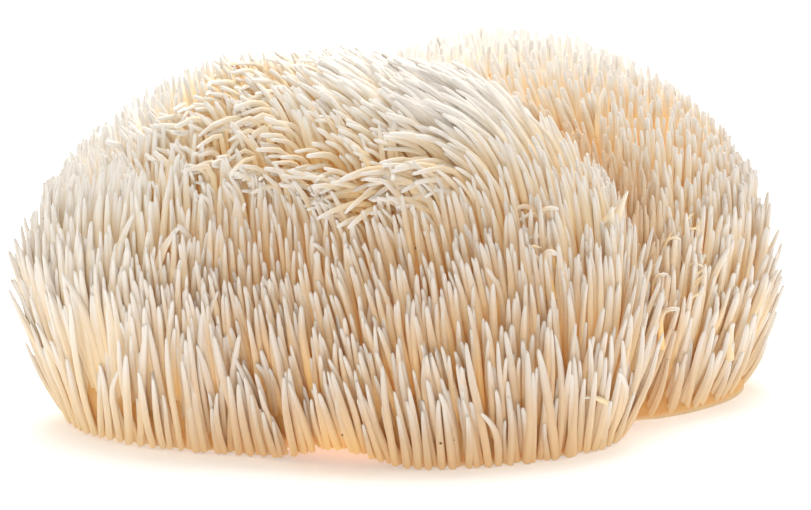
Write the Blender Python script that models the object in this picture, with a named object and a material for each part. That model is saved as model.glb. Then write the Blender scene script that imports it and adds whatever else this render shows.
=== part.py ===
# Lion's mane mushroom: one fruiting body of five grown-together lobes, covered with fused spines.
# It rests on the flat cut where it grew on its substrate, with its spine tips turned up.
# Sizes below are in millimetres and the scene is in metres, +Z up.

import math

import bmesh
import bpy
import numpy as np

METRES = 0.001
UP = np.array([0.0, 0.0, 1.0])

# A lobe is a rounded lump, out to its spine tips: its centre, its half-widths along x, y and z, and
# how full its upper half is (1 is a cone, 2 is an ellipsoid)
LEFT_LOBE = ((-30.5, -7.0, 30.5), (52.5, 33.0, 49.5), 1.62)
RIGHT_LOBE = ((3.0, -17.0, 24.2), (51.0, 30.5, 55.4), 1.70)
CROWN_LOBE = ((-12.0, -11.0, 44.0), (31.0, 24.0, 36.8), 1.90)
REAR_LOBE = ((22.5, 21.0, 25.4), (61.7, 41.0, 55.0), 1.84)
REAR_LEFT_LOBE = ((-24.0, 18.0, 26.0), (43.0, 35.0, 42.0), 1.80)
LOBES = (LEFT_LOBE, RIGHT_LOBE, CROWN_LOBE, REAR_LOBE, REAR_LEFT_LOBE)
PLAN_FULLNESS = 1.85
LOWER_FULLNESS = 2.8
CREASE_SHARPNESS = 22.0

# The low arch between the two front lobes, deepest at the cut
ARCH_CENTRE = np.array([-13.0, -38.0, -1.0])
ARCH_WIDTHS = np.array([10.0, 17.0, 4.2])
ARCH_DEPTH = 1.20

HEART = np.array([-6.0, -3.0, 20.0])
LONGEST_REACH = 110.0

# The spines: flesh lies this far below the tips, and each tip leans out, up and with the comb of the crown
SPINE_RISE = 7.0
TIP_OVERSHOOT = 1.8
SPINE_COUNT = 1980
LONGEST_SPINE = 17.0
LENGTH_VARIATION = 0.16
OUTWARD = 0.45
UPWARD = 0.85
LOW_OUTWARD = 0.40
LOW_HEIGHT = 24.0
COMB = np.array([-0.62, -0.12, 0.0])
COMB_CENTRE = np.array([-6.0, -22.0, 66.0])
COMB_WIDTHS = np.array([58.0, 34.0, 26.0])
SIDE_SWAY = -0.16

# The flat cut: spines fade out between these heights above it
FADE_START = 0.0
FADE_END = 3.0
CUT_SNAP = 0.5

GOLDEN_ANGLE = math.pi * (3 - math.sqrt(5))
SPREAD_ROUNDS = 40
SPREAD_RADIUS = 9.0
SPREAD_STEP = 1.1
BISECTION_ROUNDS = 34

FLESH_COLOUR = (0.80, 0.62, 0.42, 1.0)
FLESH_ROUGHNESS = 0.62


def lobe_depth(points, inset):
    """Below 1 inside the joined lobes and above 1 outside: a smooth minimum of the lobes' own depths."""
    total = 0.0
    for centre, half_widths, upper_fullness in LOBES:
        scaled = np.abs(points - np.array(centre)) / (np.array(half_widths) - inset)
        plan = (scaled[:, :2] ** PLAN_FULLNESS).sum(axis=1) ** (1 / PLAN_FULLNESS)
        fullness = np.where(points[:, 2] > centre[2], upper_fullness, LOWER_FULLNESS)
        depth = (plan**fullness + scaled[:, 2] ** fullness) ** (1 / fullness)
        total = total + np.maximum(depth, 1e-6) ** -CREASE_SHARPNESS
    arch = np.exp(-((((points - ARCH_CENTRE) / ARCH_WIDTHS) ** 2).sum(axis=1)))
    return total ** (-1 / CREASE_SHARPNESS) * (1 + ARCH_DEPTH * arch)


def distance_to_surface(starts, directions, inset, furthest):
    """How far each ray runs before it leaves the lobes, by halving an interval."""
    near = np.zeros(len(starts))
    far = np.full(len(starts), furthest)
    for _ in range(BISECTION_ROUNDS):
        middle = (near + far) / 2
        inside = lobe_depth(starts + directions * middle[:, None], inset) < 1
        near = np.where(inside, middle, near)
        far = np.where(inside, far, middle)
    return near


def flesh_points(directions):
    """Where rays from the heart of the mushroom meet its flesh."""
    starts = np.broadcast_to(HEART, directions.shape)
    reach = distance_to_surface(starts, directions, SPINE_RISE, LONGEST_REACH)
    return HEART + directions * reach[:, None]


def unit(vectors):
    return vectors / np.linalg.norm(vectors, axis=1, keepdims=True)


def outward_normals(points):
    """The slope of the depth, taken from small steps along each axis."""
    step = 0.05
    slope = np.empty_like(points)
    for axis in range(3):
        shift = np.zeros(3)
        shift[axis] = step
        slope[:, axis] = lobe_depth(points + shift, SPINE_RISE) - lobe_depth(points - shift, SPINE_RISE)
    return unit(slope)


def smooth_step(values, start, end):
    share = np.clip((values - start) / (end - start), 0, 1)
    return share * share * (3 - 2 * share)


def evenly_spread_directions(count):
    """Directions of a golden-angle spiral, pushed apart until the roots are evenly spaced on the flesh."""
    index = np.arange(count) + 0.5
    height = 1 - 2 * index / count
    ring = np.sqrt(1 - height**2)
    turn = index * GOLDEN_ANGLE
    directions = np.stack([ring * np.cos(turn), ring * np.sin(turn), height], axis=1)
    for _ in range(SPREAD_ROUNDS):
        points = flesh_points(directions)
        squares = (points**2).sum(axis=1)
        gaps = squares[:, None] + squares[None, :] - 2 * points @ points.T
        gaps = np.sqrt(np.maximum(gaps, 1e-6))
        push = np.clip(1 - gaps / SPREAD_RADIUS, 0, 1) ** 2 / gaps
        np.fill_diagonal(push, 0)
        moves = push.sum(axis=1, keepdims=True) * points - push @ points
        directions = unit(points + SPREAD_STEP * moves - HEART)
    return directions


def spine_directions(roots):
    """Out of the flesh and up, combed to the left over the front of the crown."""
    normals = outward_normals(roots)
    low = 1 - smooth_step(roots[:, 2], 0, LOW_HEIGHT)
    combed = np.exp(-((((roots - COMB_CENTRE) / COMB_WIDTHS) ** 2).sum(axis=1)))
    outward = OUTWARD + LOW_OUTWARD * low
    lean = normals * outward[:, None] + UP * UPWARD + COMB * combed[:, None]
    lean[:, 0] += SIDE_SWAY * smooth_step(-roots[:, 1], 0, 25)
    return unit(lean)


def spine_tips(roots, seed):
    """Each tip lies on the lobes' outer surface, or just short of it."""
    directions = spine_directions(roots)
    lengths = distance_to_surface(roots, directions, -TIP_OVERSHOOT, LONGEST_SPINE)
    chance = np.random.default_rng(seed).random(len(roots))
    lengths = lengths * (1 - LENGTH_VARIATION * chance**2)
    lengths = lengths * smooth_step(roots[:, 2], FADE_START, FADE_END)
    return roots + directions * lengths[:, None]


def spiny_mesh():
    """A hull over the directions, where every corner becomes a six-sided spine and every face a hollow."""
    mesh = bmesh.new()
    for direction in evenly_spread_directions(SPINE_COUNT):
        mesh.verts.new(direction)
    bmesh.ops.convex_hull(mesh, input=mesh.verts[:])
    corners = mesh.verts[:]
    ridges = mesh.edges[:]
    hollows = bmesh.ops.poke(mesh, faces=mesh.faces[:])["verts"]
    bmesh.ops.rotate_edges(mesh, edges=ridges)
    corner_roots = flesh_points(unit(np.array([corner.co[:] for corner in corners])))
    hollow_roots = flesh_points(unit(np.array([hollow.co[:] for hollow in hollows])))
    for corner, place in zip(corners, spine_tips(corner_roots, seed=7)):
        corner.co = place * METRES
    for hollow, place in zip(hollows, hollow_roots):
        hollow.co = place * METRES
    return mesh


def cut_flat(mesh):
    """The plane z = 0 cuts the lower part off and one flat face closes it."""
    for vertex in mesh.verts:
        if abs(vertex.co.z) < CUT_SNAP * METRES:
            vertex.co.z = 0
    everything = mesh.verts[:] + mesh.edges[:] + mesh.faces[:]
    bmesh.ops.bisect_plane(mesh, geom=everything, plane_co=(0, 0, 0), plane_no=(0, 0, 1), clear_inner=True)
    rim = [edge for edge in mesh.edges if edge.is_boundary]
    bmesh.ops.holes_fill(mesh, edges=rim, sides=0)
    bmesh.ops.recalc_face_normals(mesh, faces=mesh.faces[:])


def centre_on_origin(mesh):
    """Puts the middle of the bounding box over the origin."""
    places = np.array([vertex.co[:] for vertex in mesh.verts])
    middle = (places.min(axis=0) + places.max(axis=0)) / 2
    bmesh.ops.translate(mesh, verts=mesh.verts[:], vec=(-middle[0], -middle[1], 0))


def flesh_material():
    material = bpy.data.materials.new("mushroom_flesh")
    material.use_nodes = True
    shader = material.node_tree.nodes["Principled BSDF"]
    shader.inputs["Base Color"].default_value = FLESH_COLOUR
    shader.inputs["Roughness"].default_value = FLESH_ROUGHNESS
    shader.inputs["Metallic"].default_value = 0.0
    return material


def clear_scene():
    for old in list(bpy.data.objects):
        bpy.data.objects.remove(old)


def build():
    clear_scene()
    collection = bpy.data.collections.new("lions_mane_mushroom")
    bpy.context.scene.collection.children.link(collection)
    spiny = spiny_mesh()
    cut_flat(spiny)
    centre_on_origin(spiny)
    data = bpy.data.meshes.new("fruiting_body")
    spiny.to_mesh(data)
    spiny.free()
    data.materials.append(flesh_material())
    collection.objects.link(bpy.data.objects.new("fruiting_body", data))


build()
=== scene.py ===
import math

import bpy
import numpy as np
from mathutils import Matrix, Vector


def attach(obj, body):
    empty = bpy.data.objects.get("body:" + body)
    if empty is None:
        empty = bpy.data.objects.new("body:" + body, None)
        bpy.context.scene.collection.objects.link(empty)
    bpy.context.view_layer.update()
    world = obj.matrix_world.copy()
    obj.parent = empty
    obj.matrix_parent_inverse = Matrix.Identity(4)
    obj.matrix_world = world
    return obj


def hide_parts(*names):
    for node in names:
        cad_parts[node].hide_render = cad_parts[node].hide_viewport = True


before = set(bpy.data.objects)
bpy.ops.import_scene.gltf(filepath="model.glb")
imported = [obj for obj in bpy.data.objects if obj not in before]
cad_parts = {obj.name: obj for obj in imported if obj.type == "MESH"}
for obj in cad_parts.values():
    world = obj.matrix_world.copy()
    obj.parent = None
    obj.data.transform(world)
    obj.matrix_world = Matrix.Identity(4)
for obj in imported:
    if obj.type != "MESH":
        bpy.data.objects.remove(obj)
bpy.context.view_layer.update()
print("frame loaded:", sorted(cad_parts))

# Shapes are worked out in millimetres in the lobes' own frame, then shifted and put in metres.
metres = 0.001
up = np.array([0.0, 0.0, 1.0])

# Each lobe: centre, half-widths out to the spine tips, fullness of its upper half.
body = {
    "lobes": {
        "left": ((-30.5, -7.0, 30.5), (52.5, 33.0, 49.5), 1.62),
        "right": ((3.0, -17.0, 24.2), (51.0, 30.5, 55.4), 1.70),
        "crown": ((-12.0, -11.0, 44.0), (31.0, 24.0, 36.8), 1.90),
        "rear": ((22.5, 21.0, 25.4), (61.7, 41.0, 55.0), 1.84),
        "rearLeft": ((-24.0, 18.0, 26.0), (43.0, 35.0, 42.0), 1.80),
    },
    "planFullness": 1.85,
    "lowerFullness": 2.8,
    "creaseSharpness": 22.0,
    "archCentre": (-13.0, -38.0, -1.0),   # the low hollow between the two front lobes
    "archWidths": (10.0, 17.0, 4.2),
    "archDepth": 1.20,
    "heart": (-6.0, -3.0, 20.0),          # every part of the flesh can be seen from here
    "shift": (-0.462, -7.209, 0.0),       # brings the lobes' frame onto the part's origin
}

lobeNames = list(body["lobes"])
rightLobe = lobeNames.index("right")
rearLobe = lobeNames.index("rear")


def smoothStep(values, start, end):
    # 0 before start, 1 after end, with a soft S between them
    share = np.clip((values - start) / (end - start), 0, 1)
    return share * share * (3 - 2 * share)


def unit(vectors):
    # every vector divided by its own length
    return vectors / np.maximum(np.linalg.norm(vectors, axis=-1, keepdims=True), 1e-9)


def bell(points, centre, widths):
    # 1 at the centre, falling as exp(-distance squared), the distance counted in widths
    return np.exp(-(((points - np.array(centre)) / np.array(widths)) ** 2).sum(axis=-1))


def lobeDepths(points, inset):
    # one column a lobe: the size, as a share of the lobe's own, of the same shape drawn through the point
    columns = []
    for centre, halfWidths, fullness in body["lobes"].values():
        scaled = np.abs(points - np.array(centre)) / (np.array(halfWidths) - inset)
        plan = (scaled[:, :2] ** body["planFullness"]).sum(axis=1) ** (1 / body["planFullness"])
        power = np.where(points[:, 2] > centre[2], fullness, body["lowerFullness"])
        columns.append((plan**power + scaled[:, 2] ** power) ** (1 / power))
    return np.maximum(np.stack(columns, axis=1), 1e-6)


def joinedDepth(points, inset, sharpness=body["creaseSharpness"]):
    # a soft minimum of the lobes' depths, below 1 inside; the lower the sharpness, the softer the creases
    return (lobeDepths(points, inset) ** -sharpness).sum(axis=1) ** (-1 / sharpness)


def bodyDepth(points, inset):
    # the joined depth, raised where the arch is
    arch = bell(points, body["archCentre"], body["archWidths"])
    return joinedDepth(points, inset) * (1 + body["archDepth"] * arch)


def distanceOut(starts, directions, inset, furthest, depth=bodyDepth, rounds=24):
    # how far each ray runs inside the body, by halving an interval again and again
    near = np.zeros(len(starts))
    far = np.full(len(starts), float(furthest))
    for _ in range(rounds):
        middle = (near + far) / 2
        inside = depth(starts + directions * middle[:, None], inset) < 1
        near = np.where(inside, middle, near)
        far = np.where(inside, far, middle)
    return near


def fleshPoints(directions, inset, depth=bodyDepth):
    # where rays from the heart leave the flesh
    heart = np.array(body["heart"])
    starts = np.broadcast_to(heart, directions.shape)
    return heart + directions * distanceOut(starts, directions, inset, 110, depth)[:, None]


def softDepth(points, inset):
    # joined so softly that the creases vanish
    return joinedDepth(points, inset, 7.0)


def outwardNormals(points, inset, depth=bodyDepth):
    # the slope of the depth, from small steps to either side along each axis
    slope = np.empty_like(points)
    for axis in range(3):
        step = np.zeros(3)
        step[axis] = 0.05
        slope[:, axis] = depth(points + step, inset) - depth(points - step, inset)
    return unit(slope)


def ripple(points, length, phase):
    # a smooth field between about -1 and 1: three crossed sine waves of that wavelength
    x, y, z = (points * (2 * math.pi / length)).T
    wave = np.sin(x + 1.7 * np.sin(0.6 * y + phase)) + np.sin(0.8 * y + z + 2.1 * phase)
    return (wave + np.sin(1.1 * z - 0.7 * x + 3.3 * phase)) / 3


class Wire:
    # one value in a material's node tree; a sum of wires adds its Math node

    def __init__(self, tree, socket=None):
        self.tree = tree
        self.socket = socket

    def node(self, kind, settings=None, inputs=None, output=0):
        # a new node: its settings first, then the values or wires of its inputs
        made = self.tree.nodes.new(kind)
        for name, value in (settings or {}).items():
            setattr(made, name, value)
        for name, value in (inputs or {}).items():
            if isinstance(value, Wire):
                self.tree.links.new(value.socket, made.inputs[name])
            else:
                made.inputs[name].default_value = value
        return Wire(self.tree, made.outputs[output])

    def anotherOutput(self, number):
        # a further output of the node that this wire comes from
        return Wire(self.tree, self.socket.node.outputs[number])

    def feed(self, shader, name):
        # this wire into an input of the shader
        self.tree.links.new(self.socket, shader.inputs[name])

    def __add__(self, other):
        return self.node("ShaderNodeMath", {"operation": "ADD"}, {0: self, 1: other})

    __radd__ = __add__


def mixColours(wires, share, first, second):
    # first where share is 0, second where it is 1; sockets 6 and 7 are the colour inputs
    inputs = {0: share, 6: first, 7: second}
    return wires.node("ShaderNodeMix", {"data_type": "RGBA"}, inputs, output=2)


def newMaterial(name):
    # a material, a wire that starts its nodes, and its shader
    material = bpy.data.materials.new(name)
    material.use_nodes = True
    return material, Wire(material.node_tree), material.node_tree.nodes["Principled BSDF"]


# Shared by both finishes: over which v root turns to shaft and shaft to tip, and how fine the grain is.
spineBlend = {"rise": (0.24, 0.82), "whitening": (0.74, 0.99), "grainScale": 900.0}

spineFinish = {
    # The warm colours are also darker, so the warmth in the UV paints shade too; the roots' golden orange
    # is partly the flesh's own tone and partly painted light for light coming through between the spines.
    "rootCool": (0.98, 0.76, 0.40),
    "rootWarm": (0.97, 0.62, 0.25),
    "shaftCool": (0.93, 0.81, 0.62),
    "shaftWarm": (0.74, 0.55, 0.37),
    "tipCool": (0.95, 0.92, 0.88),
    "tipWarm": (0.78, 0.72, 0.66),
    "through": (0.035, 0.017, 0.005),   # a faint emission that stands for light coming through the flesh
    "roughness": 0.50,
    "gloss": 0.25,            # specular level, low because the skin is moist but not glossy
    "bumpHeight": 0.00006,
}


def spineMaterial(look):
    # along a spine v runs from root to tip; u, from 0 to 1, is the spine's warmth with painted shade,
    # warmer and darker towards 1
    material, wires, shader = newMaterial("spine_flesh")
    place = wires.node("ShaderNodeUVMap", {"uv_map": "OFBake"})
    warmthAndShade = wires.node("ShaderNodeSeparateXYZ", {}, {0: place})
    along = warmthAndShade.anotherOutput(1)
    root = mixColours(wires, warmthAndShade, (*look["rootCool"], 1), (*look["rootWarm"], 1))
    shaft = mixColours(wires, warmthAndShade, (*look["shaftCool"], 1), (*look["shaftWarm"], 1))
    rise = wires.node("ShaderNodeMapRange", {"interpolation_type": "SMOOTHSTEP"},
                      {0: along, 1: spineBlend["rise"][0], 2: spineBlend["rise"][1]})
    whitening = wires.node("ShaderNodeMapRange", {"interpolation_type": "SMOOTHSTEP"},
                           {0: along, 1: spineBlend["whitening"][0], 2: spineBlend["whitening"][1]})
    lower = mixColours(wires, rise, root, shaft)
    tip = mixColours(wires, warmthAndShade, (*look["tipCool"], 1), (*look["tipWarm"], 1))
    colour = mixColours(wires, whitening, lower, tip)
    colour.feed(shader, "Base Color")
    through = mixColours(wires, rise, (*look["through"], 1), (0, 0, 0, 1))   # fades out up the spine
    through.feed(shader, "Emission Color")
    shader.inputs["Emission Strength"].default_value = 1.0
    spot = wires.node("ShaderNodeTexCoord", output=3)
    fine = {"Vector": spot, "Scale": spineBlend["grainScale"], "Detail": 2.0}
    grain = wires.node("ShaderNodeTexNoise", {}, fine)
    bump = wires.node("ShaderNodeBump", {}, {"Height": grain, "Distance": look["bumpHeight"]})
    bump.feed(shader, "Normal")
    shader.inputs["Roughness"].default_value = look["roughness"]
    shader.inputs["Specular IOR Level"].default_value = look["gloss"]
    return material


fleshFinish = {
    "deep": (0.86, 0.47, 0.15),
    "pale": (0.88, 0.56, 0.24),
    "cut": (0.84, 0.68, 0.46),
    "roughness": 0.6,
    "bumpHeight": 0.0004,
    "patchScale": 120.0,
    "poreScale": 420.0,
    "throughShare": 0.3,      # how much of the light goes under the skin
    "throughReach": 0.004,    # and how far, in metres
}


def fleshMaterial(look):
    # warm orange between the spines, paler and spongy over the flat cut
    material, wires, shader = newMaterial("mushroom_flesh")
    spot = wires.node("ShaderNodeTexCoord", output=3)
    coarse = {"Vector": spot, "Scale": look["patchScale"], "Detail": 4.0}
    patches = wires.node("ShaderNodeTexNoise", {}, coarse)
    sponge = wires.node("ShaderNodeTexVoronoi", {}, {"Vector": spot, "Scale": look["poreScale"]})
    skin = mixColours(wires, patches, (*look["deep"], 1), (*look["pale"], 1))
    height = wires.node("ShaderNodeSeparateXYZ", {}, {0: spot}, output=2)
    onCut = wires.node("ShaderNodeMapRange", {}, {0: height, 1: 0.0012, 2: 0.0002})
    pores = wires.node("ShaderNodeMapRange", {}, {0: sponge, 1: 0.1, 2: 0.6, 3: 0.75, 4: 1.0})
    cut = mixColours(wires, pores, (*look["pale"], 1), (*look["cut"], 1))
    colour = mixColours(wires, onCut, skin, cut)
    colour.feed(shader, "Base Color")
    bump = wires.node("ShaderNodeBump", {}, {"Height": sponge + patches, "Distance": look["bumpHeight"]})
    bump.feed(shader, "Normal")
    shader.inputs["Roughness"].default_value = look["roughness"]
    shader.inputs["Subsurface Weight"].default_value = look["throughShare"]
    shader.inputs["Subsurface Radius"].default_value = (1.0, 0.5, 0.25)
    shader.inputs["Subsurface Scale"].default_value = look["throughReach"]
    return material


def addPiece(name, points, faces, material, uv=None, normals=None):
    # puts whole arrays into a new mesh object: points in millimetres of the lobes' frame
    mesh = bpy.data.meshes.new(name)
    placed = (points + np.array(body["shift"])) * metres
    mesh.from_pydata(placed.tolist(), [], faces)
    if uv is not None:
        layer = mesh.uv_layers.new(name="OFBake")
        corners = np.empty(len(mesh.loops), np.int32)
        mesh.loops.foreach_get("vertex_index", corners)
        layer.data.foreach_set("uv", uv[corners].astype(np.float32).ravel())
    mesh.shade_smooth()
    if normals is not None:
        mesh.normals_split_custom_set_from_vertices(normals)
    mesh.materials.append(material)
    piece = bpy.data.objects.new(name, mesh)
    bpy.context.scene.collection.objects.link(piece)
    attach(piece, "root")
    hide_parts("fruiting_body")
    print(name, len(points), "points,", len(faces), "faces")


flesh = {
    "inset": 7.6,       # how deep the flesh lies under the spine tips
    "around": 200,
    "upRows": 90,
    "cutRows": 14,
    "bareSwell": 2.6,
}


def fleshDepth(points, inset):
    # near the cut at the right end the flesh swells out to the lobes' outline, where it shows bare
    bare = smoothStep(points[:, 0], 40, 56) * (1 - smoothStep(points[:, 2], 0, 6))
    return bodyDepth(points, inset - (flesh["bareSwell"] * bare)[:, None])


def fleshSurface(look):
    # azimuth by elevation grid: rays from the heart down to the rim of the cut, then straight in over it
    heart = np.array(body["heart"])
    azimuth = np.linspace(0, 2 * math.pi, look["around"], endpoint=False)
    level = np.stack([np.cos(azimuth), np.sin(azimuth), np.zeros_like(azimuth)], axis=1)
    foot = heart * np.array([1, 1, 0]) + np.zeros_like(level)
    rim = distanceOut(foot, level, look["inset"], 110, fleshDepth)
    lowest = np.arctan2(-heart[2], rim)
    share = np.linspace(0.012, 1, look["upRows"])[:, None]
    elevation = math.pi / 2 + share * (lowest[None, :] - math.pi / 2)
    directions = np.stack([np.cos(elevation) * np.cos(azimuth), np.cos(elevation) * np.sin(azimuth),
                           np.sin(elevation)], axis=-1)
    skin = fleshPoints(directions.reshape(-1, 3), look["inset"], fleshDepth).reshape(directions.shape)
    skin[-1, :, 2] = 0
    inward = np.linspace(0, 1, look["cutRows"] + 1)[1:-1, None, None]
    cut = skin[-1] * (1 - inward) + foot * inward
    top = fleshPoints(up[None, :], look["inset"])
    points = np.concatenate([skin.reshape(-1, 3), cut.reshape(-1, 3), top, foot[:1]])
    rows = look["upRows"] + look["cutRows"] - 1
    row, column = np.meshgrid(np.arange(rows - 1), np.arange(look["around"]), indexing="ij")
    here = row * look["around"] + column
    beside = row * look["around"] + (column + 1) % look["around"]
    quads = np.stack([here, here + look["around"], beside + look["around"], beside], axis=-1).reshape(-1, 4)
    ring = np.arange(look["around"])
    after = (ring + 1) % look["around"]
    last = (rows - 1) * look["around"]
    crown = np.stack([np.full_like(ring, len(points) - 2), ring, after], axis=1)
    sole = np.stack([last + ring, np.full_like(ring, len(points) - 1), last + after], axis=1)
    return points, quads.tolist() + crown.tolist() + sole.tolist()


addPiece("mushroomFlesh", *fleshSurface(flesh), fleshMaterial(fleshFinish))

spines = {
    "seed": 11,
    "candidates": 30000,
    "spacing": 2.6,           # between roots halfway up the front
    "crownSpacing": 2.25,
    "rearSpacing": 2.4,
    "spreadRounds": 24,
    "spreadReach": 1.85,      # how many spacings away a neighbour still pushes
    "inset": 8.0,
    "lowestRoot": 1.5,
    "rimInsets": (7.4, 6.2, 4.9),   # how deep the rows that the cut slices through stand
    "rimSpacing": 2.45,
    "lowSpacing": 2.5,
    "reachPast": 1.1,         # tips pass the lobes' outline by this much
    "longest": 33.0,
    "sides": 6,
    "along": (0.0, 0.22, 0.42, 0.58, 0.71, 0.82, 0.91, 0.975, 1.0),
    "radius": 0.80,
    "crownRadius": 0.66,
    "rearRadius": 0.66,
    "frontBlunt": 0.38,       # how wide a tip is, as a share of its spine
    "crownBlunt": 0.52,
    "rearBlunt": 0.62,
    "frontTaper": 13.5,       # how far under its tip a spine starts to narrow
    "crownTaper": 9.0,
    "rearTaper": 6.5,
    "thinnest": 0.80,         # a spine's girth is this share of the radius, and up to the range more
    "girthRange": 0.38,
    "fatAbove": 0.95,         # chance past which a spine is fatter still
    "fatter": 1.25,
    "narrowest": 0.85,        # its width is this share of its girth, or up to the range more,
    "widthRange": 0.3,        # and its thickness is changed the other way
    "lengthSpread": 0.29,     # the most that chance takes off a length, and how much more near the cut
    "lowLengthSpread": 0.31,
    "backFrom": 22.0,         # behind here the rear lobe's spines are a piece of their own
    "glow": 0.42,             # how far the shading leans from a spine's own roundness to the body's
    "clumpShare": 0.15,       # this share of the roots are the middles of clumps
    "clumpReach": 24.0,       # the clump's spines would meet this far above it
    "archLift": 3.6,
}

# How the spines lie. A bell is a centre and widths, in the lobes' frame, around the roots it moves.
flow = {
    "leanOut": 13.5,          # degrees between a spine and the flesh it grows along
    # how far the front's spines lean to the right at each x; below 0 is to the left
    "sway": ((-75, 0.18), (-50, 0.11), (-22, -0.07), (5, -0.20), (28, -0.20), (50, -0.16)),
    "rearSway": -0.06,
    "combPull": (-1.35, 0.10, -0.15),
    "topCombPull": (-1.0, -0.10, -0.15),
    "leftLean": 0.12,         # outward lean of the lowest spines at either end, and all round
    "rightLean": 0.38,
    "footLean": 0.18,
    "hookTurn": 2.4,
    "hookWay": (-1.0, -0.45, -0.65),
    "blobTurn": 1.4,
    "blobWay": (-0.5, -0.9, -0.4),
    "tangleTurn": 2.2,
    "bentAbove": 0.97,        # chance past which a spine bends strongly, and the two bends
    "strongBend": 1.4,
    "slightBend": 0.28,
    "shake": (0.10, 0.13, 0.1),
    "comb": ((27.0, -18.0, 60.0), (21.0, 16.0, 11.5)),
    "topComb": ((-2.0, -14.0, 67.0), (26.0, 13.0, 11.0)),
    "hooks": ((-31.0, -22.0, 55.0), (22.0, 15.0, 10.0)),
    "blobs": ((-32.0, -9.0, 67.0), (26.0, 13.0, 9.0)),
    "tangle": ((-3.0, -33.0, 50.0), (19.0, 14.0, 9.0)),
}


def byRegion(points, front, crown, rear):
    # the front's value, blended into the crown's with height and then into the rear's towards the back
    high = smoothStep(points[:, 2], 34, 54)
    behind = smoothStep(points[:, 1], -8, 10)
    near = front * (1 - high) + crown * high
    return near * (1 - behind) + rear * behind


def rootSpacing(points, look):
    # the spacing of each region, blended; on the front it changes a little with height
    above = smoothStep(points[:, 2], 8, 24)
    front = look["lowSpacing"] * (1 - above) + look["spacing"] * above
    return byRegion(points, front, look["crownSpacing"], look["rearSpacing"])


def spreadRoots(look):
    # golden-angle directions thinned by chance to the wanted spacing, then pushed apart over the flesh
    index = np.arange(look["candidates"]) + 0.5
    height = 1 - 2 * index / look["candidates"]
    ring = np.sqrt(1 - height**2)
    turn = index * math.pi * (3 - math.sqrt(5))
    directions = np.stack([ring * np.cos(turn), ring * np.sin(turn), height], axis=1)
    points = fleshPoints(directions, look["inset"])
    heart = np.array(body["heart"])
    facing = (outwardNormals(points, look["inset"]) * directions).sum(axis=1)
    patch = 4 * math.pi / look["candidates"] * ((points - heart) ** 2).sum(axis=1) / facing
    wanted = patch / (0.87 * rootSpacing(points, look) ** 2)
    kept = np.random.default_rng(look["seed"]).random(len(points)) < wanted
    points = points[kept & (points[:, 2] > 0)]
    for _ in range(look["spreadRounds"]):
        small = points.astype(np.float32)
        reach = (look["spreadReach"] * rootSpacing(points, look)).astype(np.float32)
        squares = (small**2).sum(axis=1)
        gaps = squares[:, None] + squares[None, :] - 2 * small @ small.T
        gaps = np.sqrt(np.maximum(gaps, 1e-4))
        push = np.clip(1 - gaps / reach[:, None], 0, 1) ** 2 / gaps
        np.fill_diagonal(push, 0)
        moves = push.sum(axis=1)[:, None] * small - push @ small
        points = fleshPoints(unit(points + 0.12 * reach[:, None] * moves - heart), look["inset"])
    return points[points[:, 2] > look["lowestRoot"] + 0.8 * smoothStep(points[:, 0], 44, 54)]


def rimRoots(look):
    # spaced round the cut in three rows just inside the lobes' outline, lifted over the arch
    azimuth = np.linspace(0, 2 * math.pi, 721)
    level = np.stack([np.cos(azimuth), np.sin(azimuth), np.zeros_like(azimuth)], axis=1)
    foot = np.array(body["heart"]) * np.array([1, 1, 0]) + 0.3 * up + np.zeros_like(level)
    rows = []
    luck = np.random.default_rng(look["seed"])
    for number, inset in enumerate(look["rimInsets"]):
        line = foot + level * distanceOut(foot, level, inset, 110, joinedDepth)[:, None]
        line[:, 2] += look["archLift"] * bell(line, (-13.0, -40.0, 0.0), (9.0, 22.0, 50.0))
        run = np.concatenate([[0], np.cumsum(np.linalg.norm(np.diff(line, axis=0), axis=1))])
        count = int(run[-1] / look["rimSpacing"])
        stops = (np.arange(count) + 0.5 * number + 0.7 * luck.random(count)) * run[-1] / count
        rows.append(np.stack([np.interp(stops, run, line[:, axis]) for axis in range(3)], axis=1))
    rooted = np.concatenate(rows)
    return rooted[(rooted[:, 0] < 50) | (luck.random(len(rooted)) < 0.60)]


def clumps(roots, look, chance):
    # every spine leans to the nearest clump's middle on its own lobe and shares that one's chances
    chosen = np.flatnonzero(chance[:, 14] < look["clumpShare"])
    lobe = lobeDepths(roots, look["inset"]).argmin(axis=1)
    gaps = ((roots[:, None] - roots[None, chosen]) ** 2).sum(axis=2)
    gaps += 1e4 * (lobe[:, None] != lobe[None, chosen])
    nearest = chosen[gaps.argmin(axis=1)]
    return (roots[nearest] - roots) / look["clumpReach"], chance[nearest]


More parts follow.
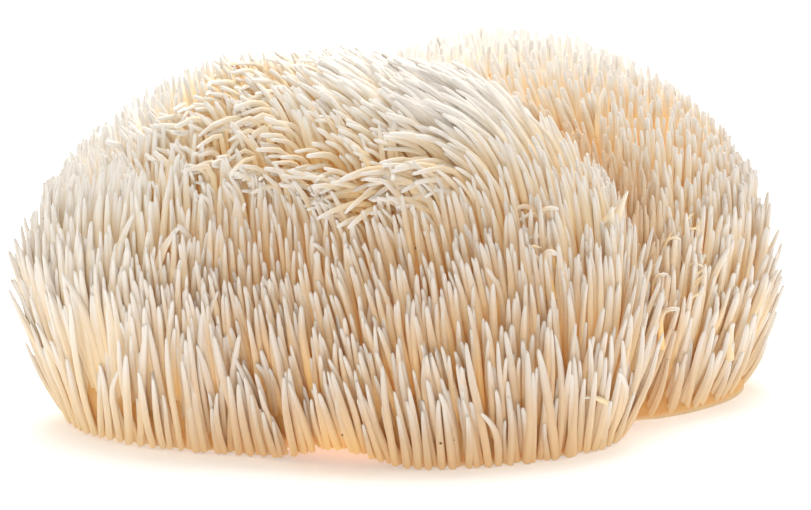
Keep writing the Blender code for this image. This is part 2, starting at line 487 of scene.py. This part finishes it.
def spineFlow(roots, normals, chance, look):
    # where each spine starts out, where it then heads, and how its last third curls over
    pull, shared = clumps(roots, look, chance)
    x = roots[:, 0]
    front = smoothStep(-roots[:, 1], -5, 20)
    low = 1 - smoothStep(roots[:, 2], 2, 14)
    level = unit(normals * np.array([1.0, 1.0, 0.0]))
    upright = 0.8 * level[:, 0] ** 2 * smoothStep(roots[:, 2], 6, 20)
    tilt = math.radians(flow["leanOut"]) * (1 - upright) - np.arcsin(normals[:, 2])
    out = np.tan(np.clip(tilt, 0.04, 0.34))[:, None] * level
    swayAt, sway = np.array(flow["sway"]).T
    lean = np.interp(x, swayAt, sway) * front + flow["rearSway"] * (1 - front)
    end = up + out
    end[:, 0] += lean
    comb = bell(roots, *flow["comb"])[:, None]
    topComb = bell(roots, *flow["topComb"])[:, None]
    end += comb * np.array(flow["combPull"]) + topComb * np.array(flow["topCombPull"])
    side = np.where(level[:, 0] > 0, flow["rightLean"], flow["leftLean"]) * low * level[:, 0] ** 2
    start = end * (1 - 0.8 * comb) + 0.8 * comb * up + 0.20 * (1 - low)[:, None] * normals
    start += (side + flow["footLean"] * low)[:, None] * level
    start[:, 0] += 0.35 * low * (chance[:, 12] - 0.5)
    hooks = bell(roots, *flow["hooks"]) * smoothStep(shared[:, 0], 0.25, 0.65)
    blobs = bell(roots, *flow["blobs"]) * smoothStep(shared[:, 1], 0.20, 0.60)
    tangle = bell(roots, *flow["tangle"]) * smoothStep(shared[:, 2], 0.0, 0.4)
    whirl = np.stack([ripple(roots, 15.0, 4.1) - 0.9, 0.6 * ripple(roots, 17.0, 5.3) - 0.35,
                      0.7 * ripple(roots, 13.0, 6.7) - 0.65], axis=1)
    ways = 1.3 * (shared[:, 9:12] - 0.5) + 0.5 * (chance[:, 9:12] - 0.5)
    hook = flow["hookTurn"] * (hooks * (0.5 + chance[:, 0]))[:, None] * (ways + np.array(flow["hookWay"]))
    hook += flow["blobTurn"] * (blobs * (0.4 + chance[:, 1]))[:, None] * (ways + np.array(flow["blobWay"]))
    whirl = whirl + 0.5 * (chance[:, 0:3] - 0.5) + 1.2 * (shared[:, 3:6] - 0.5)
    curl = flow["tangleTurn"] * tangle[:, None] * whirl
    bend = np.where(chance[:, 2:3] > flow["bentAbove"], flow["strongBend"], flow["slightBend"])
    bent = bend * (chance[:, 7:10] - 0.5) * np.array([1.0, 0.8, 0.3])
    tuft = np.stack([ripple(roots, 21.0, 0.4), ripple(roots, 25.0, 1.9), ripple(roots, 19.0, 3.1)], axis=1)
    wisp = np.stack([ripple(roots, 9.0, 2.4), ripple(roots, 10.0, 0.9), ripple(roots, 8.0, 1.1)], axis=1)
    shake = (chance[:, 3:6] - 0.5) * np.array(flow["shake"]) * (1 + 0.9 * low[:, None])
    start = start + 0.06 * tuft + 0.3 * shake
    end = end + (0.08 + 0.10 * comb + 0.08 * topComb) * tuft + 0.05 * wisp + shake
    gather = (0.25 + 0.45 * smoothStep(roots[:, 2], 26, 46))[:, None] + 0.7 * comb + 0.5 * topComb
    end = end + gather * pull + 0.06 * (shared[:, 6:9] - 0.5)
    return unit(start), unit(end), curl + bent, hook, tangle


def spinePaths(roots, look, chance):
    # the direction turns from start to end, then by its curl and at the tip by its hook; steps are summed
    normals = outwardNormals(roots, look["inset"], softDepth)
    start, end, curl, hook, curled = spineFlow(roots, normals, chance, look)
    along = np.array(look["along"])
    middles = (along[1:] + along[:-1]) / 2
    bend = (middles ** 0.7)[None, :, None]
    rough = distanceOut(roots, unit(start + 2 * end), -look["reachPast"], look["longest"], joinedDepth, 12)
    under = (1 - middles[None]) * np.maximum(rough, 8.0)[:, None]
    over = 1 - smoothStep(under, 0.0, 13.0)[..., None]
    late = 1 - smoothStep(under, 2.0, 6.5)[..., None]
    turning = start[:, None] * (1 - bend) + end[:, None] * bend
    heading = unit(turning + curl[:, None] * over + hook[:, None] * late)
    steps = heading * np.diff(along)[None, :, None]
    chord = steps.sum(axis=1)
    reach = distanceOut(roots, unit(chord), -look["reachPast"], look["longest"], joinedDepth)
    length = np.minimum(reach / np.linalg.norm(chord, axis=1), 1.12 * rough + 1.5)
    spread = look["lengthSpread"] + look["lowLengthSpread"] * (1 - smoothStep(roots[:, 2], 1, 10))
    length = length * (1.05 - spread * chance[:, 6] ** 1.3)
    length = np.clip(length * (1 + 0.1 * curled), 5.0, look["longest"])
    path = np.concatenate([np.zeros((len(roots), 1, 3)), np.cumsum(steps, axis=1)], axis=1)
    path = (roots - 1.2 * normals)[:, None] + path * length[:, None, None]
    between = (heading[:, 1:] + heading[:, :-1]) / 2
    tangent = np.concatenate([heading[:, :1], between, heading[:, -1:]], axis=1)
    hinge = unit(np.cross(start, end + curl + hook) + 0.05 * (chance[:, 7:10] - 0.5))
    sideways = unit(np.cross(np.broadcast_to(hinge[:, None], tangent.shape), tangent))
    return path, unit(tangent), sideways, length


def tubeRings(path, sideways, across, wide, thin, sides):
    # a ring of points at every step of each path but the last, and the way each point faces
    angle = np.arange(sides) * 2 * math.pi / sides
    one = np.cos(angle)[:, None] * sideways[:, :-1, None]
    other = np.sin(angle)[:, None] * across[:, :-1, None]
    rings = path[:, :-1, None] + wide[:, :-1, None, None] * one + thin[:, :-1, None, None] * other
    rings[..., 2] = np.maximum(rings[..., 2], 0.02)
    return rings, one + other


def spineSkins(roots, look, chance):
    # rings of a tapering tube round each path, narrowing to a rounded point, with their shading normals
    path, tangent, sideways, length = spinePaths(roots, look, chance)
    across = np.cross(tangent, sideways)
    along = np.array(look["along"])
    blunt = byRegion(roots, look["frontBlunt"], look["crownBlunt"], look["rearBlunt"])
    narrowRun = byRegion(roots, look["frontTaper"], look["crownTaper"], look["rearTaper"])
    wideness = np.clip((1 - along) * length[:, None] / narrowRun[:, None], 0, 1)
    taper = 1 - (1 - blunt)[:, None] * (1 - wideness) ** 2
    taper = taper * (1 - np.clip((along - 0.955) / 0.045, 0, 1) ** 2) ** 0.5   # rounds the end
    girth = byRegion(roots, look["radius"], look["crownRadius"], look["rearRadius"])
    girth = girth * (look["thinnest"] + look["girthRange"] * chance[:, 10])
    girth = np.where(chance[:, 11] > look["fatAbove"], girth * look["fatter"], girth)
    flat = look["narrowest"] + look["widthRange"] * chance[:, 12]
    wide = (girth * flat)[:, None] * taper
    thin = (girth / flat)[:, None] * taper
    rings, facing = tubeRings(path, sideways, across, wide, thin, look["sides"])
    broad = outwardNormals(roots, look["inset"], softDepth)
    around = (1 - look["glow"]) * facing + look["glow"] * broad[:, None, None]
    atTip = (1 - look["glow"]) * tangent[:, -1] + look["glow"] * broad
    normals = np.concatenate([around.reshape(len(roots), -1, 3), atTip[:, None]], axis=1)
    return rings, path[:, -1], unit(normals)


def joinSpines(rings, tips, warmthAndShade, lowest, highest, look):
    # one point list and face list for many spines; as UV the warmth with its painted shade, and the way
    # along between two values
    count, levels, sides = rings.shape[:3]
    each = levels * sides + 1
    points = np.concatenate([rings.reshape(count, -1, 3), tips[:, None]], axis=1).reshape(-1, 3)
    level, side = np.meshgrid(np.arange(levels - 1), np.arange(sides), indexing="ij")
    here = level * sides + side
    beside = level * sides + (side + 1) % sides
    quad = np.stack([here, beside, beside + sides, here + sides], axis=-1).reshape(-1, 4)
    ring = np.arange(sides) + (levels - 1) * sides
    cap = np.stack([ring, np.roll(ring, -1), np.full(sides, each - 1)], axis=1)
    foot = np.arange(sides)[::-1]
    start = (np.arange(count) * each)[:, None, None]
    faces = (quad[None] + start).reshape(-1, 4).tolist()
    faces += (cap[None] + start).reshape(-1, 3).tolist()
    faces += (foot[None] + start[:, 0]).tolist()
    angle = np.arange(sides) * 2 * math.pi / sides
    u = warmthAndShade[:, None, None] + 0.004 * np.cos(angle)[None, None, :] + np.zeros((count, levels, sides))
    height = lowest[:, None] + (highest - lowest)[:, None] * np.array(look["along"])[None, :-1]
    v = height[:, :, None] + 0.004 * np.sin(angle)[None, None, :]
    ringUv = np.stack([u, v], axis=-1).reshape(count, -1, 2)
    tipUv = np.stack([warmthAndShade, highest], axis=1)[:, None]
    uv = np.concatenate([ringUv, tipUv], axis=1).reshape(-1, 2)
    return points, faces, np.clip(uv, 0.001, 0.999)


def creaseShadeShare(roots):
    # painted shade in the crease: 1 on the rear lobe where it meets the front right one, fading away from
    # it
    depths = lobeDepths(roots, spines["inset"])
    behind = depths[:, rightLobe] - depths[:, rearLobe]
    share = (1 - smoothStep(behind, 0.04, 0.60)) * smoothStep(behind, -0.02, 0.0)
    return share * smoothStep(roots[:, 0], 6, 30) * (1 - smoothStep(roots[:, 2], 50, 72))


def paintedLightShare(roots):
    # painted light: 1 where the spines are painted whitest, paler where light falls: high on the left, on
    # the comb and on top of the rear lobe
    x, y, z = roots.T
    left = smoothStep(-x, 30, 62) * (1 - smoothStep(y, -8, 10)) * (0.3 + 0.7 * smoothStep(z, 22, 46))
    top = 0.8 * smoothStep(y, 2, 14) * smoothStep(z, 54, 70)
    combed = 1.7 * bell(roots, *flow["comb"]) + 0.9 * bell(roots, *flow["topComb"])
    return np.clip(left + top + combed, 0, 1)


def spineWarmthAndShade(roots, chance):
    # painted shade: warmer and darker low on the middle of the front, low on the front and in the rear
    # lobe's crease, where shade falls;
    # also warmer on the rear lobe and in slow drifts, and cooler where the painted light whitens
    x, y, z = roots.T
    middle = (1 - smoothStep(z, 24, 56)) * smoothStep(x, -66, -22) * (1 - 0.7 * smoothStep(x, 26, 46))
    middle = middle * smoothStep(-y, -20, 14)
    rear = smoothStep(y, -8, 10) * smoothStep(x, 10, 40)
    drift = 0.5 + 0.5 * ripple(roots, 34.0, 0.9)
    low = (1 - smoothStep(z, 4, 30)) * smoothStep(-y, -8, 10)
    warmthAndShade = 0.14 + 0.26 * rear + 0.62 * middle + 0.26 * low + 0.60 * creaseShadeShare(roots) + 0.16 * drift
    warmthAndShade = warmthAndShade - 0.24 * paintedLightShare(roots)
    return np.clip(warmthAndShade + 0.2 * (chance[:, 13] - 0.5), 0.02, 0.98)


roots = np.concatenate([spreadRoots(spines), rimRoots(spines)])

# Fifteen random numbers a spine, some with more than one use: 0 to 2 its curl, and 2 whether it bends
# strongly; 3 to 5 its shake; 6 its length; 7 to 9 its bend; 9 to 11 the way it hooks; 10 its girth;
# 11 whether it is fat; 12 its section, and how it starts near the cut; 13 its warmth; 14 whether it is
# the middle of a clump, whose numbers its neighbours use too.
chance = np.random.default_rng(spines["seed"]).random((len(roots), 15))
rings, tips, normals = spineSkins(roots, spines, chance)
warmthAndShade = spineWarmthAndShade(roots, chance)

# Where on the way from root to tip colour each spine begins and ends. It begins later near the cut; as
# painted light it begins later, so paler, at the left end, high up and where the painted light whitens; as
# painted shade it ends before the tip's colour in the rear lobe's crease.
lowest = 0.52 * (1 - smoothStep(roots[:, 2], 0, 9))
lowest = np.maximum(lowest, 0.38 * smoothStep(-roots[:, 0], 38, 58))
lowest = np.maximum(lowest, 0.70 * paintedLightShare(roots) + 0.14 * smoothStep(roots[:, 2], 50, 66))
highest = 1 - 0.22 * creaseShadeShare(roots)
owner = lobeDepths(roots, spines["inset"]).argmin(axis=1)
owner = np.where((owner == rearLobe) & (roots[:, 1] > spines["backFrom"]), len(lobeNames), owner)
print(len(roots), "spines worked out")

spineLook = spineMaterial(spineFinish)
for index, lobe in enumerate([*lobeNames, "rearBack"]):
    mine = owner == index
    shades = (warmthAndShade[mine], lowest[mine], highest[mine])
    points, faces, uv = joinSpines(rings[mine], tips[mine], *shades, spines)
    addPiece(lobe + "LobeSpines", points, faces, spineLook, uv, normals[mine].reshape(-1, 3))

driedFinish = {
    "rootCool": (0.93, 0.78, 0.52),
    "rootWarm": (0.90, 0.70, 0.40),
    "shaftCool": (0.93, 0.85, 0.71),
    "shaftWarm": (0.88, 0.70, 0.42),
    "tipCool": (0.96, 0.93, 0.87),
    "tipWarm": (0.92, 0.80, 0.58),
    "through": (0.0, 0.0, 0.0),
    "roughness": 0.55,
    "gloss": 0.2,
    "bumpHeight": 0.00004,
}

# Each hooked spine, thread or crushed blade: root, first heading, turn, length, half-width, half-thickness
# and how late the turn comes. The root is drawn onto the nearest spine.
hookedSpines = {
    "hookLow": ((54.0, -13.2, 17.6), (-0.13, -0.28, 1.0), (3.6, 0.0, -1.5), 12.6, 0.75, 0.64, 5),
    "hookUpper": ((53.2, -13.2, 23.2), (-0.05, -0.28, 1.0), (0.9, 0.0, 0.0), 8.6, 0.46, 0.40, 4),
    "hookMiddle": ((52.2, -13.4, 27.2), (-0.05, -0.28, 1.0), (2.8, 0.0, -1.2), 9.8, 0.56, 0.48, 5),
    "hookRight": ((75.6, 9.4, 13.0), (0.05, -0.28, 1.0), (-2.0, 0.0, -0.4), 11.8, 0.62, 0.52, 4),
    "archLeft": ((29.3, -31.6, 42.6), (-0.30, -0.16, 1.0), (-5.0, 0.0, -5.4), 15.4, 0.80, 0.70, 7),
    "archMiddle": ((30.6, -31.6, 41.2), (-0.30, -0.20, 1.0), (-3.6, 0.0, -4.4), 14.8, 0.70, 0.62, 7),
    "archRight": ((29.2, -32.8, 41.6), (-0.20, -0.12, 1.0), (4.8, 0.0, -2.4), 14.2, 0.64, 0.56, 7),
    "hookLeft": ((31.2, -33.4, 37.8), (-0.25, -0.20, 1.0), (-3.2, 0.0, -3.0), 13.2, 0.80, 0.70, 7),
    "knobLow": ((30.2, -35.8, 34.4), (-0.22, -0.16, 1.0), (3.0, 0.0, -3.0), 12.6, 0.92, 0.80, 8),
    "knobLeft": ((29.6, -36.0, 34.2), (-0.25, -0.16, 1.0), (-3.4, 0.0, -2.4), 12.4, 0.80, 0.72, 8),
}
driedBits = {
    "bladeRight": ((43.5, -20.8, 42.4), (0.0, -0.40, 1.0), (0.42, 0.2, 0.0), 12.6, 1.25, 0.42, 1),
    "bladeMiddle": ((41.9, -21.8, 41.0), (-0.05, -0.52, 1.0), (0.2, 0.2, 0.0), 11.0, 2.00, 0.50, 1),
    "bladeLeft": ((39.5, -24.4, 45.6), (0.6, -0.25, 0.9), (0.1, 0.0, 0.1), 6.8, 0.62, 0.40, 1),
    "fallenTip": ((43.0, -35.5, 11.0), (-1.0, -0.6, 0.9), (-0.2, 0.1, -0.7), 6.0, 0.75, 0.55, 1),
    "knobRight": ((70.4, 0.8, 11.4), (-0.05, -0.22, 1.0), (0.6, 0.0, 0.0), 9.0, 1.00, 0.90, 5),
    "threadLow": ((25.4, -37.4, 41.0), (-0.2, -0.05, 1.0), (2.6, 0.0, -1.6), 6.4, 0.34, 0.30, 4),
    "threadFallen": ((25.4, -38.0, 45.6), (0.9, -0.2, 0.3), (0.0, 0.0, -0.7), 2.4, 0.26, 0.22, 1),
    "threadOne": ((59.1, -7.6, 25.4), (0.25, -0.3, 1.0), (1.5, 0.0, -1.1), 6.0, 0.34, 0.26, 2),
    "threadTwo": ((60.3, -7.6, 29.2), (0.7, -0.2, 0.8), (0.3, 0.0, -0.1), 3.9, 0.32, 0.26, 1),
    "threadThree": ((60.6, -7.4, 30.3), (0.9, -0.2, 0.6), (0.0, 0.0, 0.3), 3.9, 0.30, 0.24, 1),
    "threadFour": ((61.6, -7.0, 32.2), (0.9, -0.2, 0.5), (-0.2, 0.0, 0.4), 3.0, 0.30, 0.24, 1),
    "threadFive": ((59.8, -5.6, 32.2), (0.1, -0.3, 1.0), (2.4, 0.0, -2.4), 5.6, 0.36, 0.28, 2),
    "threadSix": ((61.6, -5.4, 34.3), (0.8, -0.2, 0.2), (0.0, 0.0, 0.9), 3.4, 0.30, 0.24, 1),
    "threadSeven": ((59.4, -5.6, 33.4), (-0.4, -0.2, 1.0), (0.1, 0.0, 0.0), 4.6, 0.32, 0.26, 1),
    "threadEight": ((54.6, -9.2, 37.8), (0.15, -0.3, 1.0), (1.4, 0.0, -1.8), 6.0, 0.36, 0.28, 2),
    "threadNine": ((55.4, -9.6, 39.4), (0.4, -0.2, 0.9), (0.2, 0.0, 0.1), 3.2, 0.28, 0.24, 1),
    "threadTen": ((59.1, -4.8, 43.0), (0.2, -0.2, 1.0), (0.9, 0.0, -0.4), 3.2, 0.28, 0.22, 1),
    "threadEleven": ((59.2, -5.0, 41.0), (0.5, -0.2, 0.8), (1.0, 0.0, -1.7), 3.8, 0.30, 0.24, 1),
    "threadTwelve": ((60.6, -4.4, 41.8), (0.8, -0.2, 0.5), (-0.3, 0.0, 0.5), 3.2, 0.28, 0.22, 1),
}
bentLook = {
    "sides": 6,
    "along": (0.0, 0.2, 0.4, 0.54, 0.64, 0.72, 0.79, 0.85, 0.90, 0.95, 0.985, 1.0),
    "rootDepth": 0.7,         # a bit starts at most this far from a spine's axis, in that one's radii
    "threadWidth": 0.38,      # below this half-width it is a thread, which has yellowed
    "threadWarmth": 0.55,
}


def ontoSpines(places, depth, outToo=False):
    # draws each place along the shortest way to the nearest spine, to depth times its radius from its axis;
    # a place that is already nearer stays, unless outToo
    centres = rings.mean(axis=2)
    starts = centres[:, :-1].reshape(-1, 3)
    runs = np.diff(centres, axis=1).reshape(-1, 3)
    girth = np.linalg.norm(rings[:, :-1, 0] - centres[:, :-1], axis=-1).ravel()
    share = ((places[:, None] - starts) * runs).sum(axis=2) / np.maximum((runs**2).sum(axis=1), 1e-9)
    away = places[:, None] - starts - np.clip(share, 0, 1)[..., None] * runs
    gap = np.maximum(np.linalg.norm(away, axis=2), 1e-9)
    number = np.arange(len(places))
    nearest = (gap - girth).argmin(axis=1)
    wanted = depth * girth[nearest] / gap[number, nearest]
    wanted = wanted if outToo else np.minimum(wanted, 1)
    return places + away[number, nearest] * (wanted - 1)[:, None]


def turnedTubes(starts, headings, turns, lengths, wide, thin, late, look):
    # the heading turns by the way along to the power late, and the steps along it are summed
    along = np.array(look["along"])
    middles = (along[1:] + along[:-1]) / 2
    steps = unit(unit(headings)[:, None] + turns[:, None] * (middles ** late[:, None])[..., None])
    path = np.cumsum(steps * np.diff(along)[None, :, None], axis=1) * lengths[:, None, None]
    path = starts[:, None] + np.concatenate([np.zeros((len(starts), 1, 3)), path], axis=1)
    tangent = unit(np.concatenate([steps[:, :1], steps[:, 1:] + steps[:, :-1], steps[:, -1:]], axis=1))
    sideways = unit(np.cross(np.array([0.05, 1.0, 0.0]), tangent))
    narrowing = np.where(late > 1, 0.45, 0.82)[:, None]
    taper = (1 - narrowing * along**1.6) * (1 - np.clip((along - 0.94) / 0.06, 0, 1) ** 2) ** 0.5
    across = np.cross(tangent, sideways)
    wide, thin = wide[:, None] * taper, thin[:, None] * taper
    bent, facing = tubeRings(path, sideways, across, wide, thin, look["sides"])
    normals = np.concatenate([facing.reshape(len(starts), -1, 3), tangent[:, -1:]], axis=1)
    return bent, path[:, -1], unit(normals).reshape(-1, 3)


def addBent(name, table, warmthAndShade, material):
    # every row of the table as one bent tube
    columns = [np.array(column, float) for column in zip(*table.values())]
    starts, headings, turns, lengths, wide, thin, late = columns
    starts = ontoSpines(starts, bentLook["rootDepth"])
    bent, ends, normals = turnedTubes(starts, headings, turns, lengths, wide, thin, late, bentLook)
    yellowing = np.where(wide < bentLook["threadWidth"], bentLook["threadWarmth"], warmthAndShade)
    lowest, highest = np.zeros(len(bent)), np.ones(len(bent))
    points, faces, uv = joinSpines(bent, ends, yellowing, lowest, highest, bentLook)
    addPiece(name, points, faces, material, uv, normals)


addBent("hookedSpines", hookedSpines, 0.5, spineLook)
addBent("driedBits", driedBits, 0.05, spineMaterial(driedFinish))

# Crumbs caught on the spines: each is moved onto the nearest one.
specks = {
    "places": ((-20.0, -35.2, 8.8), (-20.3, -34.6, 7.1), (-12.0, -41.2, 7.6), (10.0, -41.5, 6.9),
               (7.8, -44.0, 6.4), (41.6, -28.0, 6.1), (-67.6, -15.6, 52.4), (-73.6, -15.4, 46.2),
               (2.8, -40.3, 45.9), (43.8, -27.1, 36.9)),
    "radius": 0.30,
    "sides": 8,
    "rows": 5,
    "colour": (0.20, 0.12, 0.06, 1),
    "roughness": 0.8,
}


def speckLumps(look):
    # small flattened balls: rows of rings between two poles, each ball turned over a little by its number
    places = ontoSpines(np.array(look["places"]), 1.0, outToo=True)
    down = np.linspace(0, math.pi, look["rows"] + 2)[1:-1]
    angle = np.arange(look["sides"]) * 2 * math.pi / look["sides"]
    ball = np.stack([np.sin(down)[:, None] * np.cos(angle), np.sin(down)[:, None] * np.sin(angle),
                     np.cos(down)[:, None] + 0 * angle], axis=-1).reshape(-1, 3)
    ball = np.concatenate([ball, [[0, 0, 1], [0, 0, -1]]]) * np.array([1.0, 0.8, 0.7])
    size = look["radius"] * (0.75 + 0.5 * ((np.arange(len(places)) * 0.618) % 1))
    points = places[:, None] + ball[None] * size[:, None, None]
    row, side = np.meshgrid(np.arange(look["rows"] - 1), np.arange(look["sides"]), indexing="ij")
    here = row * look["sides"] + side
    beside = row * look["sides"] + (side + 1) % look["sides"]
    quads = np.stack([here, here + look["sides"], beside + look["sides"], beside], axis=-1).reshape(-1, 4)
    ring = np.arange(look["sides"])
    last = (look["rows"] - 1) * look["sides"] + ring
    crown = np.stack([np.full_like(ring, len(ball) - 2), ring, np.roll(ring, -1)], axis=1)
    sole = np.stack([last, np.full_like(ring, len(ball) - 1), np.roll(last, -1)], axis=1)
    start = (np.arange(len(places)) * len(ball))[:, None, None]
    faces = (quads + start).reshape(-1, 4).tolist() + (crown + start).reshape(-1, 3).tolist()
    return points.reshape(-1, 3), faces + (sole + start).reshape(-1, 3).tolist()


def speckMaterial(look):
    # one dull dark brown
    material, _, shader = newMaterial("dark_speck")
    shader.inputs["Base Color"].default_value = look["colour"]
    shader.inputs["Roughness"].default_value = look["roughness"]
    return material


addPiece("darkSpecks", *speckLumps(specks), speckMaterial(specks))

studio = {
    "elevation": 14.0,            # degrees the camera looks down
    "distance": 0.600,
    "lens": 125.2,                # on the 36 mm wide sensor, fills the picture as photographed
    "target": (0.0, 0.0, 0.030),
    "aimRight": 0.00074,
    "aimUp": 0.0048,
    "floorTone": 0.92,
    "floorGlow": 0.35,
    "floorHalf": 4.0,
    "skyColour": (1.0, 0.93, 0.83, 1),
    "skyStrength": 0.34,
    "bounces": 16,                # many, so that light reaches between the spines
    "diffuseBounces": 12,
}

# Each light: place, aim, size, power, colour.
lamps = {
    "frontFill": ((-0.05, -1.17, 0.40), (0, 0, 0.04), 0.45, 1.5, (1.0, 0.98, 0.955)),
    "topBack": ((0.0, 0.18, 0.88), (0, 0, 0.03), 0.8, 9.4, (1.0, 0.98, 0.945)),
    "leftRim": ((-0.7, 0.0, 0.25), (0, 0, 0.04), 0.5, 0.6, (1.0, 0.99, 0.98)),
    "rightRim": ((0.75, 0.05, 0.3), (0, 0, 0.04), 0.5, 1.0, (1.0, 0.98, 0.95)),
}


def addCamera(look):
    # stands in front at the given elevation, aimed a little above and right of the target
    tilt = math.radians(look["elevation"])
    shift = Vector(body["shift"]) * metres
    target = Vector(look["target"]) + shift
    ahead = Vector((0, math.cos(tilt), -math.sin(tilt)))
    place = target - ahead * look["distance"]
    aim = target + Vector((look["aimRight"], 0, look["aimUp"]))
    camera = bpy.data.objects.new("camera", bpy.data.cameras.new("camera"))
    camera.data.lens = look["lens"]
    camera.data.sensor_width = 36.0
    camera.location = place
    camera.rotation_euler = (aim - place).to_track_quat("-Z", "Y").to_euler()
    bpy.context.scene.collection.objects.link(camera)
    bpy.context.scene.camera = camera


def addLight(name, place, aim, size, power, colour):
    # a round area lamp, turned to its aim
    lamp = bpy.data.lights.new(name, "AREA")
    lamp.shape = "DISK"
    lamp.size = size
    lamp.energy = power
    lamp.color = colour
    light = bpy.data.objects.new(name, lamp)
    light.location = place
    light.rotation_euler = (Vector(aim) - Vector(place)).to_track_quat("-Z", "Y").to_euler()
    bpy.context.scene.collection.objects.link(light)


def addFloor(look):
    # a wide plain sheet at the height the mushroom rests on
    mesh = bpy.data.meshes.new("floor")
    half = look["floorHalf"]
    corners = [(-half, -half, 0), (half, -half, 0), (half, half, 0), (-half, half, 0)]
    mesh.from_pydata(corners, [], [(0, 1, 2, 3)])
    material, _, shader = newMaterial("floor_paper")
    shader.inputs["Base Color"].default_value = (look["floorTone"],) * 3 + (1,)
    shader.inputs["Roughness"].default_value = 0.9
    shader.inputs["Emission Color"].default_value = (1.0, 0.99, 0.97, 1)
    shader.inputs["Emission Strength"].default_value = look["floorGlow"]
    mesh.materials.append(material)
    floor = bpy.data.objects.new("floor", mesh)
    bpy.context.scene.collection.objects.link(floor)


addCamera(studio)
addFloor(studio)
for name, row in lamps.items():
    addLight(name, *row)

world = bpy.data.worlds.new("studio")
world.use_nodes = True
world.node_tree.nodes["Background"].inputs["Color"].default_value = studio["skyColour"]
world.node_tree.nodes["Background"].inputs["Strength"].default_value = studio["skyStrength"]
bpy.context.scene.world = world
bpy.context.scene.view_settings.view_transform = "Standard"
bpy.context.scene.cycles.max_bounces = studio["bounces"]
bpy.context.scene.cycles.diffuse_bounces = studio["diffuseBounces"]
print("studio set")
